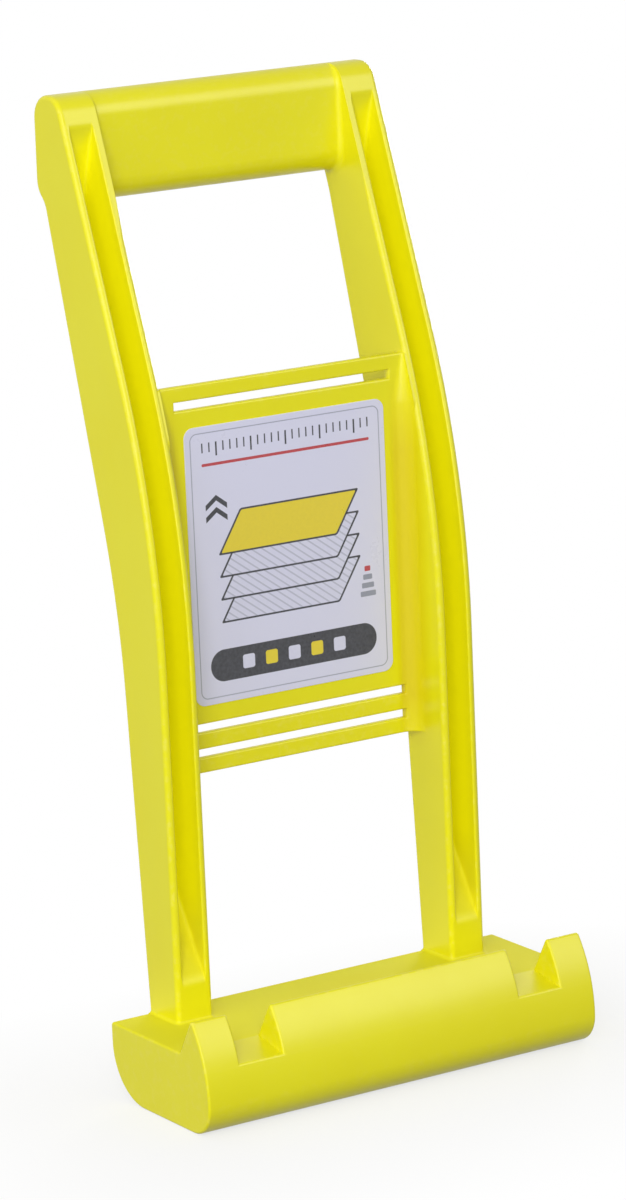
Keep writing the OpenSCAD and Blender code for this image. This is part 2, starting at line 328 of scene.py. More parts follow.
class Skin:
    """Gathers the grids and caps of one piece and welds them into a closed mesh."""

    def __init__(self):
        self.points = []
        self.edges = []
        self.hollows = []
        self.faces = []
        self.total = 0

    def add(self, points, edge, hollow=0.0):
        """Adds points with their edge values (1 on an exposed edge) and hollow values (1 deep in a
        groove) and returns their numbers."""
        flat = np.asarray(points, float).reshape(-1, 3)
        self.points.append(flat)
        self.edges.append(np.broadcast_to(edge, points.shape[:-1]).reshape(-1))
        self.hollows.append(np.broadcast_to(hollow, points.shape[:-1]).reshape(-1))
        numbers = self.total + np.arange(len(flat)).reshape(points.shape[:-1])
        self.total += len(flat)
        return numbers

    def grid(self, points, edge=0.0, closed=False, hollow=0.0):
        """Four-sided faces between neighbouring rows and columns; closed joins the last column to the
        first."""
        numbers = self.add(points, edge, hollow)
        here = numbers if closed else numbers[:, :-1]
        beside = np.roll(numbers, -1, axis=1) if closed else numbers[:, 1:]
        faces = np.stack([here[:-1], beside[:-1], beside[1:], here[1:]], -1).reshape(-1, 4)
        self.faces.extend(faces.tolist())
        return numbers

    def cap(self, numbers):
        """One flat face over a ring of points."""
        self.faces.append(numbers.tolist())

    def build(self, name, finish, slot, nodes, sharp=38):
        """Makes the object: welds the seams, turns the faces outwards and keeps hard edges hard."""
        mesh = bpy.data.meshes.new(name)
        mesh.from_pydata(np.concatenate(self.points).tolist(), [], self.faces)
        for key, values in (("edge", self.edges), ("hollow", self.hollows)):
            layer = mesh.attributes.new(key, "FLOAT", "POINT")
            layer.data.foreach_set("value", np.concatenate(values).astype(np.float32))
        work = bmesh.new()
        work.from_mesh(mesh)
        bmesh.ops.remove_doubles(work, verts=work.verts, dist=2e-6)
        bmesh.ops.dissolve_degenerate(work, edges=work.edges, dist=2e-6)
        bmesh.ops.recalc_face_normals(work, faces=work.faces)
        work.to_mesh(mesh)
        work.free()
        if not mesh.polygons:
            raise RuntimeError(f"{name} has no faces")
        mesh.shade_smooth()
        mesh.set_sharp_from_angle(angle=math.radians(sharp))
        mesh.materials.append(finish)
        piece = bpy.data.objects.new(name, mesh)
        bpy.context.scene.collection.objects.link(piece)
        flat = piece.modifiers.new("Flat faces stay flat", "WEIGHTED_NORMAL")
        flat.keep_sharp = True
        flat.weight = 60
        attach(piece, "root")
        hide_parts(*nodes)
        return piece


def along_x(points, where):
    """Plane points (y, z) set at the given x."""
    return np.stack([np.broadcast_to(where, points.shape[:-1]), points[..., 0], points[..., 1]], -1)


def along_y(points, where):
    """Plane points (x, z) set at the given y."""
    return np.stack([points[..., 0], np.broadcast_to(where, points.shape[:-1]), points[..., 1]], -1)


def prism(skin, loop, start, end, round_start=0.0, round_end=0.0, place=along_x, rows=None, bare=1.0):
    """A closed counter-clockwise outline carried from start to end. At the angle a of an end's rounding
    the outline is drawn in by radius * (1 - cos a) and lies radius * (1 - sin a) short of the end; the
    radius may differ from point to point. Both ends are closed by flat faces. bare is 0 where an edge of
    the outline lies under another piece, for each point or for each row and point."""
    count = len(loop)
    inner = inward(loop)
    first = np.broadcast_to(np.asarray(round_start, float), (count,))
    last = np.broadcast_to(np.asarray(round_end, float), (count,))
    bend = np.linspace(0, QUARTER, 6)[:, None]
    draw_first, draw_last = first * (1 - np.cos(bend)), last * (1 - np.cos(bend))
    at_first, at_last = start + first * (1 - np.sin(bend)), end - last * (1 - np.sin(bend))
    if rows is None:
        margin = max(first.max(), last.max()) + 0.6 * MM
        rows = np.linspace(start + margin, end - margin, max(2, int((end - start) / (8 * MM)) + 2))
    middle = np.broadcast_to(np.asarray(rows)[:, None], (len(rows), count))
    where = np.concatenate([at_first[::-1], middle, at_last])
    draw = np.concatenate([draw_first[::-1], np.zeros_like(middle), draw_last])
    soft = np.sin(2 * bend) * 0.5 + np.sin(bend) * 0.5
    crisp = crispness(loop) * np.broadcast_to(bare, middle.shape)
    edge = np.concatenate([np.maximum(soft[::-1] * (first > 0), crisp[0]), crisp,
                           np.maximum(soft * (last > 0), crisp[-1])])
    numbers = skin.grid(place(loop + inner * draw[..., None], where), edge, closed=True)
    skin.cap(numbers[0])
    skin.cap(numbers[-1])


# Rails

def rail_edges(s):
    """Side view of a rail as two paths of (y, z) from the foot to the top of the head. The front edge is
    upright up to its bend, then leans back and touches the head's curve. The rear edge leans back in two
    stages, swells out under the grip bar and runs up the rear of the head."""
    knee = at(s.rail.foot_front, s.rail.front_knee)
    bar = (s.handle.back - s.handle.front) / 2
    head = at(s.handle.back - bar - s.rail.proud, s.rail.top - bar)
    to_head = head - knee
    lean = math.atan2(to_head[1], to_head[0]) + math.asin(bar / np.linalg.norm(to_head))
    rise = at(math.cos(lean), math.sin(lean))
    front_top = knee + rise * (s.rail.top - knee[1]) / rise[1]
    summit = at(head[0] + s.rail.proud / 2, s.rail.top)
    foot = at(s.rail.foot_front, s.rail.floor)
    front = rounded_path([foot, knee, front_top, summit], [0, s.rail.front_bend, bar, 0])

    rear_foot = at(s.rail.foot_rear, s.rail.floor)
    rear_knee = rear_foot + at(s.rail.rear_knee_back, s.rail.rear_knee - s.rail.floor)
    under = at(s.handle.back - bar, s.handle.bottom + bar)
    meet = under + bar * at(math.cos(math.radians(-63)), math.sin(math.radians(-63)))
    swell = at(s.rail.back, under[1] - bar * math.tan(QUARTER / 4))
    slope = (meet - rear_knee)[0] / (meet - rear_knee)[1]
    fall = (swell[0] - meet[0] - (swell[1] - meet[1]) * slope) / (1 - slope)
    hollow = swell - at(fall, fall)
    rear_top = at(s.rail.back, s.rail.top)
    rear = rounded_path([rear_foot, rear_knee, hollow, swell, rear_top, summit],
                        [0, s.rail.rear_bend, 9 * MM, bar, bar, 0])
    return front, rear


def front_of_rail(s, height):
    """The front edge's y at a height."""
    front = rail_edges(s)[0]
    return np.interp(height, front[:, 1], front[:, 0])


def channel_profile(s, groove, depth, near, spread):
    """Half of a rail's cross section for every row: groove floor, its fillet, the drafted wall, the
    rounded rim, the flange and the rounded outer edge. Returns distance from the rail's middle, how far
    the point is drawn in along the edge's normal, how deep it lies in the groove, and its edge value."""
    half = (s.rail.outer - s.rail.inner) / 2 + spread[:, None]
    wide, deep, near = groove[:, None], depth[:, None], near[:, None]
    fillet = np.minimum(s.rail.groove_fillet, np.minimum(0.4 * wide, 0.4 * deep))
    rim = np.minimum(s.rail.groove_edge, 0.4 * deep)
    floor = np.maximum(wide - 0.018 * deep, 0.5 * wide)
    bend = np.linspace(0, QUARTER, 6)[None]
    share = np.linspace(0, 1, 7)[None, 1:-1]
    none = np.zeros_like(half)

    def stack(*parts):
        return np.concatenate([np.broadcast_to(p, (len(groove), p.shape[1])) for p in parts], axis=1)

    open_rim = np.minimum(deep / (2 * MM), 1)
    out = stack((floor - fillet) * np.linspace(0, 1, 4)[None, :-1], floor - fillet + fillet * np.sin(bend),
                floor + (wide - floor) * share, wide + rim * (1 - np.cos(bend)),
                wide + rim + (half - near - wide - rim) * share, half - near + near * np.sin(bend))
    drawn = stack(none + np.zeros((1, 3)), none + 0 * bend, none + 0 * share, none + 0 * bend,
                  none + 0 * share, near * (1 - np.cos(bend)))
    sunk = stack(deep + np.zeros((1, 3)), deep - fillet * (1 - np.cos(bend)),
                 deep - fillet + (rim - deep + fillet) * share, rim * (1 - np.sin(bend)),
                 none + 0 * share, none + 0 * bend)
    edge = stack(none + np.zeros((1, 3)), none + 0 * bend, none + 0 * share,
                 open_rim * np.sin(2 * bend) * 0.8, none + 0 * share, none + np.sin(2 * bend))
    return out, drawn, sunk, edge


def make_rail(s, side):
    """A rail as its cross section carried up the front edge, over the head and down the rear edge, with
    flat sides between the two edges. The groove's floor follows the rear edge at the web's distance and
    rises to the front edge at both ends. A flare of radius r rounds the foot: at the angle a it is r * (1
    - cos a) wider at the height r * (1 - sin a)."""
    r = s.rail
    front, rear = rail_edges(s)
    flare = np.linspace(QUARTER, 0, 8)
    foot_rise = np.concatenate([[-1.0 * MM], r.foot_fillet * (1 - np.sin(flare))])
    foot_wide = np.concatenate([[r.foot_fillet], r.foot_fillet * (1 - np.cos(flare))])
    foot_z = r.floor + foot_rise
    start = r.floor + r.foot_fillet * 1.4

    def rows_of(path):
        fine = refine(path, 0.25 * MM)
        low_y = fine[0, 0] + (foot_z - fine[0, 1]) * (fine[40, 0] - fine[0, 0]) / (fine[40, 1] - fine[0, 1])
        upper = paced(fine[fine[:, 1] > start], r.rows, 1.3 * MM, 3.0)
        return np.concatenate([np.stack([low_y, foot_z], -1), upper])

    front_rows, rear_rows = rows_of(front), rows_of(rear)
    spread = np.concatenate([foot_wide, np.zeros(r.rows)])
    front_dir, rear_dir = headings(front_rows), headings(rear_rows)
    front_in = np.stack([front_dir[:, 1], -front_dir[:, 0]], -1)
    rear_in = np.stack([-rear_dir[:, 1], rear_dir[:, 0]], -1)
    rear_in[-1] = front_in[-1] = at(0, -1)

    height = front_rows[:, 1]
    rear_y = np.interp(height, rear[:, 1], rear[:, 0])
    front_y = front_rows[:, 0]

    def groove_floor(z):
        return np.interp(z, rear[:, 1], rear[:, 0]) - r.web

    rise = (height - r.groove_low) / (r.groove_deep - r.groove_low)
    run_in = r.foot_front + rise * (groove_floor(r.groove_deep) - r.foot_front)
    run = np.clip((height - r.groove_ramp) / (r.groove_tip - r.groove_ramp), 0, 1)
    tip_y = np.interp(r.groove_tip, front[:, 1], front[:, 0])
    run_out = groove_floor(r.groove_ramp) * (1 - run) + tip_y * run
    floor_y = np.where(height > r.groove_ramp, run_out, rear_y - r.web)
    floor_y = np.where(height < r.groove_deep, run_in, floor_y)
    deep = np.clip(floor_y - front_y, 0, None) * (height < r.groove_tip)
    soft = 0.5 * MM
    depth = np.sqrt(deep ** 2 + soft ** 2) - soft
    groove = np.full(len(height), (r.outer - r.inner) / 2 - r.flange)

    def fade(z, begin, end):
        return np.clip((z - begin) / (end - begin), 0, 1)

    flat = np.zeros(len(height))
    front_near = r.edge * (1 - 0.93 * fade(height, s.handle.bottom - 12 * MM, s.handle.bottom + 2 * MM))
    front_far = r.edge + flat
    rear_height = rear_rows[:, 1]
    rear_near = r.rear_edge * (1 - 0.93 * fade(rear_height, s.handle.bottom - 8 * MM, s.handle.bottom))
    rear_far = r.edge + (r.rear_edge - r.edge) * (1 - fade(rear_height, r.top - 30 * MM, r.top))
    front_rows = front_rows - np.stack([spread, flat], -1)

    skin = Skin()
    middle = (r.inner + r.outer) / 2
    edge_columns = {}
    for key, rows, normal, width, sunk_by, rounds in (
            ("front", front_rows, front_in, groove, depth, (front_near, front_far)),
            ("rear", rear_rows, rear_in, flat, flat, (rear_near, rear_far))):
        halves = [channel_profile(s, width, sunk_by, radius, spread) for radius in rounds]
        out = np.concatenate([-halves[0][0][:, :0:-1], halves[1][0]], axis=1)
        drawn, sunk, edge = (np.concatenate([halves[0][k][:, :0:-1], halves[1][k]], axis=1)
                             for k in (1, 2, 3))
        plane = rows[:, None] + normal[:, None] * drawn[..., None]
        plane[..., 0] += sunk
        points = np.stack([side * (middle + out), plane[..., 0], plane[..., 1]], -1)
        skin.grid(points, edge, hollow=np.clip(sunk / (14 * MM), 0, 1))
        edge_columns[key] = points
    across = np.array([0, 0.02, 0.1, 0.3, 0.5, 0.7, 0.9, 0.98, 1.0])[None, :, None]
    for column in (0, -1):
        fore, aft = edge_columns["front"][:, column, None], edge_columns["rear"][:, column, None]
        skin.grid(fore + (aft - fore) * across)
    fore, aft = edge_columns["front"][0, :, None], edge_columns["rear"][0, :, None]
    skin.grid(fore + (aft - fore) * across)
    return skin


# Grip bar

def make_handle(s):
    """A flattened bar: its outline, two half circles joined by flat faces, is carried along x. Near a
    rail the outline swells by r - sqrt(r^2 - (r - d)^2) at the distance d, where r is the end fillet's
    radius or, where less of the rail stands out beside the bar, that much."""
    h = s.handle
    radius = (h.back - h.front) / 2
    middle = (h.back + h.front) / 2
    loop = np.concatenate([arc(at(middle, h.top - radius), radius, 0, 180, 40),
                           arc(at(middle, h.bottom + radius), radius, 180, 360, 40)])
    loop = refine(loop, 1.6 * MM, closed=True)
    front, rear = rail_edges(s)
    outline = refine(np.concatenate([rear, front[::-1]]), 1.5 * MM, closed=True)
    room = np.clip(depth_inside(loop, outline) - 0.05 * MM, 0, h.fillet)
    away = h.fillet * (1 - np.cos(np.linspace(0, QUARTER, 12)))
    inner = s.rail.inner
    mid = np.linspace(-inner + h.fillet + 1 * MM, inner - h.fillet - 1 * MM, 22)
    rows = np.concatenate([[-inner - 1 * MM, -inner - 0.02 * MM], -inner + away, mid, (inner - away)[::-1],
                           [inner + 0.02 * MM, inner + 1 * MM]])
    gap = np.clip(inner - np.abs(rows), 0, None)[:, None]
    short = np.clip(room[None] - gap, 0, None)
    swell = room[None] - np.sqrt(np.clip(room[None] ** 2 - short ** 2, 0, None))
    swell[np.abs(rows) > inner + 0.01 * MM] = -0.3 * MM
    skin = Skin()
    points = along_x(loop - inward(loop) * swell[..., None], rows[:, None])
    numbers = skin.grid(points, 0.25 * np.ones(len(loop))[None], closed=True)
    skin.cap(numbers[0])
    skin.cap(numbers[-1])
    return skin


# Label plate

def slots_of(s):
    """The slots as (low, high, half length)."""
    p = s.plate
    first = p.bottom + p.bar
    second = first + p.slot + p.middle_bar
    third = p.top - p.top_bar - p.slot
    return [(first, first + p.slot, p.lower_half), (second, second + p.slot, p.lower_half),
            (third, third + p.slot, p.upper_half)]


def make_plate(s):
    """Two height fields over a grid of x and z, joined by walls round the rim and the slots. A face lies
    at its plane, comes forward by r - sqrt(r^2 - t^2) in a fillet, where t is how far the point has gone
    into it, and falls back by q - sqrt(q^2 - (q - d)^2) at the distance d from a rim. The front fillet's
    radius shrinks to what stands out of the leaning rail in front of the plate."""
    p = s.plate
    inner = s.rail.inner
    sink = 1.5 * MM
    step = p.edge * (1 - np.cos(np.linspace(0, QUARTER, 5)))
    slots = slots_of(s)
    turn = np.sin(np.linspace(0, QUARTER, 15))
    right = np.concatenate([np.linspace(0, p.upper_half, 16), p.upper_half + step, p.lower_half + step,
                            inner - p.fillet * (1 - turn), inner - p.rear_fillet * (1 - turn[::3]),
                            [inner + 0.01 * MM, inner + sink]])
    across = np.unique(np.round(np.concatenate([-right, right]), 6))
    rims = [p.bottom + step, p.top - step]
    rims += [edge for low_z, high_z, _ in slots for edge in (low_z - step, high_z + step)]
    up = np.unique(np.round(np.concatenate([*rims, np.linspace(p.bottom + 20 * MM, p.top - 25 * MM, 18),
                                            np.linspace(p.top - 24 * MM, p.top - 2 * MM, 20)]), 6))
    wide, tall = np.meshgrid(across, up, indexing="ij")
    from_rim = np.minimum(tall - p.bottom, p.top - tall)
    for low_z, high_z, half in slots:
        aside = np.maximum(np.abs(wide) - half, 0)
        above = np.maximum(np.maximum(low_z - tall, tall - high_z), 0)
        from_rim = np.minimum(from_rim, np.hypot(aside, above))
    short = np.clip(p.edge - from_rim, 0, p.edge)
    fall = p.edge - np.sqrt(p.edge ** 2 - short ** 2)

    def fillet(radius):
        into = np.clip(np.abs(wide) - (inner - radius), 0, radius)
        return radius - np.sqrt(np.clip(radius ** 2 - into ** 2, 0, None))

    stands_out = np.clip(p.front - front_of_rail(s, tall) - 0.25 * MM, 0.02 * MM, p.fillet)
    fore = np.stack([wide, p.front - fillet(stands_out) + fall, tall], -1)
    aft = np.stack([wide, p.back + fillet(np.full_like(wide, p.rear_fillet)) - fall, tall], -1)

    mid_x, mid_z = (across[1:] + across[:-1]) / 2, (up[1:] + up[:-1]) / 2
    solid = np.ones((len(mid_x), len(mid_z)), bool)
    for low_z, high_z, half in slots:
        solid &= ~((np.abs(mid_x)[:, None] < half) & (mid_z > low_z)[None] & (mid_z < high_z)[None])

    skin = Skin()
    edge = np.clip(1 - from_rim / (1.6 * MM), 0, 1)
    faces = []
    numbers = [skin.add(fore, edge), skin.add(aft, edge)]
    for n in numbers:
        cells = np.stack([n[:-1, :-1], n[1:, :-1], n[1:, 1:], n[:-1, 1:]], -1)
        faces.append(cells[solid])
    padded = np.pad(solid, 1)
    ahead, behind = numbers
    rim_x = padded[1:, 1:-1] != padded[:-1, 1:-1]
    walls_x = np.stack([ahead[:, :-1], ahead[:, 1:], behind[:, 1:], behind[:, :-1]], -1)
    rim_z = padded[1:-1, 1:] != padded[1:-1, :-1]
    walls_z = np.stack([ahead[:-1, :], ahead[1:, :], behind[1:, :], behind[:-1, :]], -1)
    faces += [walls_x[rim_x], walls_z[rim_z]]
    skin.faces.extend(np.concatenate(faces).tolist())
    return skin


# Shelf

def shelf_curves(s):
    """Centres of the shelf's circles in (y, z), the tip of the lip and where its faces touch the tip's
    circle."""
    f = s.shelf
    bow = at(f.front + f.bow, f.toe)
    toe = at(f.front + f.toe, f.toe)
    heel = at(f.rear - f.heel, f.heel)
    foot = at(f.lip_foot, f.floor)
    tip_z = f.lip_top - f.lip_tip
    tip = at(bow[0] - math.sqrt((f.bow - f.lip_tip) ** 2 - (tip_z - bow[1]) ** 2), tip_z)
    outer = math.degrees(math.atan2(*(tip - bow)[::-1]))
    reach = np.linalg.norm(tip - foot)
    touch = math.degrees(math.atan2(*(foot - tip)[::-1])) + math.degrees(math.acos(f.lip_tip / reach))
    return bow, toe, heel, foot, tip, outer, touch


def notch_edge(s):
    """Front edge of a notch's sloping bottom: the slope from the lip's foot meets the bow, and an arc
    rounds the edge. Returns the arc and the angle on the bow at which it ends."""
    f = s.shelf
    bow, _, _, foot, *_ = shelf_curves(s)
    fall = unit(at(-1.0, -f.notch_slope))
    offset = foot - bow
    along = -(offset @ fall) + math.sqrt((offset @ fall) ** 2 - offset @ offset + f.bow ** 2)
    edge = foot + fall * along
    spoke = unit(edge - bow)
    down = at(-spoke[1], spoke[0])
    curve = corner_arc(foot, edge, edge + down * 0.02, 1.1 * MM)
    return curve, math.degrees(math.atan2(*(curve[-1] - bow)[::-1]))


def shell_outline(s):
    """The floor, the bowed front and the bottom as one band: the outer face from the floor's rear edge
    round to the heel, and back along the inner face one wall's thickness away."""
    f = s.shelf
    bow, toe, heel, foot, *_ = shelf_curves(s)
    edge, edge_turn = notch_edge(s)
    rear_top, rear_low = at(f.rear, f.floor), at(f.rear, f.floor - f.wall)
    heel_turn = math.degrees(math.asin((f.wall - f.heel) / f.heel))
    heel_end = heel + f.heel * at(math.cos(math.radians(heel_turn)), math.sin(math.radians(heel_turn)))
    inner_turn = 180 - math.degrees(math.asin((f.floor - f.wall - bow[1]) / (f.bow - f.wall)))
    under = arc(bow, f.bow - f.wall, 180, inner_turn)
    return np.concatenate([
        corner_arc(rear_low, rear_top, foot, 1.4 * MM), foot[None], edge, arc(bow, f.bow, edge_turn, 180),
        arc(toe, f.toe, 180, 270)[1:], arc(heel, f.heel, 270, 360 + heel_turn - 2, 10),
        corner_arc(heel, heel_end, heel_end - at(0.02, 0), 0.5 * MM, 3)[1:],
        arc(toe, f.toe - f.wall, 270, 180), under[1:-1],
        corner_arc(under[-4], under[-1], rear_low, 1.2 * MM),
        corner_arc(under[-1], rear_low, rear_top, 0.5 * MM, 3)])


def lip_top_curve(s):
    """The lip from its fillet on the floor, up its inner face and over the tip."""
    f = s.shelf
    bow, _, _, foot, tip, outer, touch = shelf_curves(s)
    over = arc(tip, f.lip_tip, touch, outer, 14)
    fillet = corner_arc(foot + at(0.02, 0), foot, over[0], f.lip_fillet)
    return np.concatenate([fillet, over])


def lip_root(s):
    """A lip's hidden base, inside the shell's wall: inwards from the notch's edge and back to below the
    lip's foot."""
    bow, _, _, foot, *_ = shelf_curves(s)
    edge = notch_edge(s)[0][-1]
    return np.stack([edge, edge + unit(bow - edge) * 1.2 * MM, foot - at(0, 1.3 * MM)])


def lip_outline(s):
    """A lip's cross section: the top curve, the bow down to the notch's edge, and back along the hidden
    base."""
    bow, _, _, _, _, outer, _ = shelf_curves(s)
    _, edge_turn = notch_edge(s)
    outside = arc(bow, s.shelf.bow, outer, edge_turn, 16)
    return np.concatenate([lip_top_curve(s), outside[1:], lip_root(s)[1:]])


def end_outline(s):
    """An end wall: the floor, the lip, the bow, the toe, the bottom and the heel."""
    f = s.shelf
    bow, toe, heel, foot, _, outer, _ = shelf_curves(s)
    rear_top = at(f.rear, f.floor)
    return np.concatenate([
        corner_arc(rear_top - at(0, 0.02), rear_top, foot, 1.4 * MM), lip_top_curve(s),
        arc(bow, f.bow, outer, 180, 30)[1:], arc(toe, f.toe, 180, 270)[1:], arc(heel, f.heel, 270, 360)])


def rib_outline(s):
    """A rib: the space between the floor, the bowed front and the bottom, up to the heel's curve."""
    f = s.shelf
    bow, toe, heel, *_ = shelf_curves(s)
    bury = 0.4 * MM
    heel_turn = math.degrees(math.asin((f.wall - bury - f.heel) / f.heel))
    inner_turn = 180 - math.degrees(math.asin((f.floor - f.wall + bury - bow[1]) / (f.bow - f.wall + bury)))
    return np.concatenate([
        arc(bow, f.bow - f.wall + bury, inner_turn, 180), arc(toe, f.toe - f.wall + bury, 180, 270)[1:],
        arc(heel, f.heel, heel_turn, 0), at(f.rear, f.floor - f.wall + bury)[None]])


def exposed(loop, s):
    """1 on a lip's open faces, 0 on its hidden base."""
    chain = refine(lip_root(s), 0.2 * MM)
    gap = np.linalg.norm(loop[:, None] - chain[None], axis=-1).min(1)
    share = np.clip(gap / (1.6 * MM), 0, 1)
    return share * share * (3 - 2 * share)


# Finishes

class Wire:
    """A value socket that takes part in Python arithmetic; each operation adds a Math node."""

    def __init__(self, paint, socket):
        self.paint = paint
        self.socket = socket

    def __add__(self, other):
        return self.paint.math("ADD", self, other)

    def __radd__(self, other):
        return self.paint.math("ADD", other, self)

    def __sub__(self, other):
        return self.paint.math("SUBTRACT", self, other)

    def __rsub__(self, other):
        return self.paint.math("SUBTRACT", other, self)

    def __mul__(self, other):
        return self.paint.math("MULTIPLY", self, other)

    def __rmul__(self, other):
        return self.paint.math("MULTIPLY", other, self)

    def __truediv__(self, other):
        return self.paint.math("DIVIDE", self, other)

    def __rtruediv__(self, other):
        return self.paint.math("DIVIDE", other, self)

    def __pow__(self, other):
        return self.paint.math("POWER", self, other)

    def __abs__(self):
        return self.paint.math("ABSOLUTE", self)

    def __mod__(self, other):
        return self.paint.math("FLOORED_MODULO", self, other)

    def least(self, other):
        return self.paint.math("MINIMUM", self, other)

    def most(self, other):
        return self.paint.math("MAXIMUM", self, other)

    def clamped(self):
        return self.least(1.0).most(0.0)


class Paint:
    """One material under construction."""

    def __init__(self, name):
        self.material = bpy.data.materials.new(name)
        self.material.use_nodes = True
        self.tree = self.material.node_tree
        self.tree.nodes.clear()
        self.output = self.node("ShaderNodeOutputMaterial")
        self.coordinates = self.node("ShaderNodeTexCoord").outputs["Object"]

    def node(self, kind, settings=None, sockets=None):
        """Any node: its settings are set first, then each named socket gets its value or its link."""
        made = self.tree.nodes.new(kind)
        for key, value in (settings or {}).items():
            setattr(made, key, value)
        for key, value in (sockets or {}).items():
            self.feed(made.inputs[key], value)
        return made

    def feed(self, socket, value):
        """Links a wire or a socket, or sets a plain value."""
        if isinstance(value, Wire):
            value = value.socket
        if isinstance(value, bpy.types.NodeSocket):
            self.tree.links.new(value, socket)
        else:
            socket.default_value = value

    def math(self, operation, *values):
        """One Math node."""
        made = self.node("ShaderNodeMath", {"operation": operation}, dict(enumerate(values)))
        return Wire(self, made.outputs[0])

    def noise(self, scale, detail=2.0, roughness=0.5, stretch=None):
        """Noise on Object coordinates; scale is in waves per metre, and stretch squeezes the axes."""
        place = self.coordinates
        if stretch:
            squeezed = self.node("ShaderNodeVectorMath", {"operation": "MULTIPLY"}, {0: place, 1: stretch})
            place = squeezed.outputs[0]
        made = self.node("ShaderNodeTexNoise", {"noise_dimensions": "3D"},
                         {"Vector": place, "Scale": scale, "Detail": detail, "Roughness": roughness})
        return Wire(self, made.outputs[0])

    def mix(self, share, one, two):
        """Blend of two colours."""
        made = self.node("ShaderNodeMix", {"data_type": "RGBA", "clamp_factor": True})
        self.feed(made.inputs[0], share)
        for socket, value in ((made.inputs[6], one), (made.inputs[7], two)):
            self.feed(socket, value if isinstance(value, bpy.types.NodeSocket) else (*value, 1.0))
        return made.outputs[2]

    def place(self):
        """The three Object coordinates as wires."""
        split = self.node("ShaderNodeSeparateXYZ", None, {0: self.coordinates})
        return [Wire(self, socket) for socket in split.outputs]

    def finish(self, **sockets):
        """Closes the material with a Principled shader."""
        shader = self.node("ShaderNodeBsdfPrincipled")
        for key, value in sockets.items():
            self.feed(shader.inputs[key.replace("_", " ")], value)
        self.tree.links.new(shader.outputs[0], self.output.inputs["Surface"])
        return self.material


def yellow_plastic(s):
    """Satin moulded plastic: faint clouds of deeper colour, a fine spark-eroded grain, slight sink
    ripples, scuffs along exposed edges, painted shade in the nooks beside the plate and at the foot of
    the grooves, painted bounce light and a painted glow inside the grooves, and a trough rubbed dull by the
    sheets."""
    made = bpy.data.materials.get("yellow_plastic_finish")
    if made:
        return made
    paint = Paint("yellow_plastic_finish")
    f = s.finish
    edge = Wire(paint, paint.node("ShaderNodeAttribute", {"attribute_name": "edge"}).outputs["Fac"])
    hollow = Wire(paint, paint.node("ShaderNodeAttribute", {"attribute_name": "hollow"}).outputs["Fac"])
    clouds = paint.noise(26.0, 3.0, 0.55)
    flow = paint.noise(60.0, 2.0, 0.5, (1.0, 1.0, 0.18))
    grain = paint.noise(2100.0, 2.0, 0.6)
    rubbed = paint.noise(330.0, 4.0, 0.65)
    ripple = paint.noise(42.0, 1.0, 0.4)
    worn = ((rubbed - 0.5) * 7.0).clamped() * edge
    tone = ((clouds - 0.35) * 2.2).clamped()
    body = paint.mix(tone * 0.8 + (flow - 0.5) * 0.5, tuple(f.yellow), tuple(f.deep))
    body = paint.mix(worn * 0.35, body, tuple(f.scuff))
    x, y, z = paint.place()
    inner, plate = s.rail.inner, s.plate
    # Painted shade: the plate's margins and the rails' faces are darkened towards amber where they meet.
    painted_nook_shade = ((abs(x) - inner + 8 * MM) / (3 * MM)).clamped() * ((inner - abs(x)) / MM + 1.0).clamped()
    painted_nook_shade *= ((y - plate.front + 12 * MM) / (10 * MM)).clamped() * ((plate.back - y) / MM + 2.0).clamped()
    painted_nook_shade *= ((z - plate.bottom) / (22 * MM) + 0.35).clamped()
    painted_nook_shade *= ((plate.top - z - 6 * MM) / (30 * MM)).clamped()
    # Painted shade at the foot of each groove, where its floor runs out; run_in also takes the painted light
    # out there and roughens it.
    run_in = ((s.rail.groove_deep - z) / (20 * MM)).clamped() * (hollow * 8.0).clamped()
    body = paint.mix(painted_nook_shade * 0.8 + run_in * 0.15, body, tuple(f.painted_shade))
    # Painted bounce light: the groove's walls are lightened towards a warmer yellow with their depth.
    base = paint.mix((hollow * 3.5 - 0.25).clamped() * (1.0 - run_in), body, tuple(f.painted_bounce_light))
    # Painted glow: the grooves give off a faint light of their own, by emission.
    glow = paint.mix(hollow * (1.0 - run_in), (0.0, 0.0, 0.0), tuple(f.glow))
    trough = ((1.0 * MM - abs(z - s.shelf.floor)) / (0.5 * MM)).clamped()
    trough *= ((y - s.shelf.lip_foot) / MM + 1.0).clamped() * ((s.shelf.end - abs(x)) / (0.4 * MM)).clamped()
    roughness = f.roughness + (clouds - 0.5) * 0.10 + (grain - 0.5) * 0.10 + worn * 0.14
    roughness += run_in * 0.45 + trough * 0.42
    height = grain * 0.10 + ripple * 1.0 + rubbed * 0.05
    bump = paint.node("ShaderNodeBump", None, {"Strength": 0.35, "Distance": 0.0006, "Height": height})
    return paint.finish(Base_Color=base, Roughness=roughness, Normal=bump.outputs[0],
                        Specular_IOR_Level=f.gloss, Emission_Color=glow, Emission_Strength=1.0)


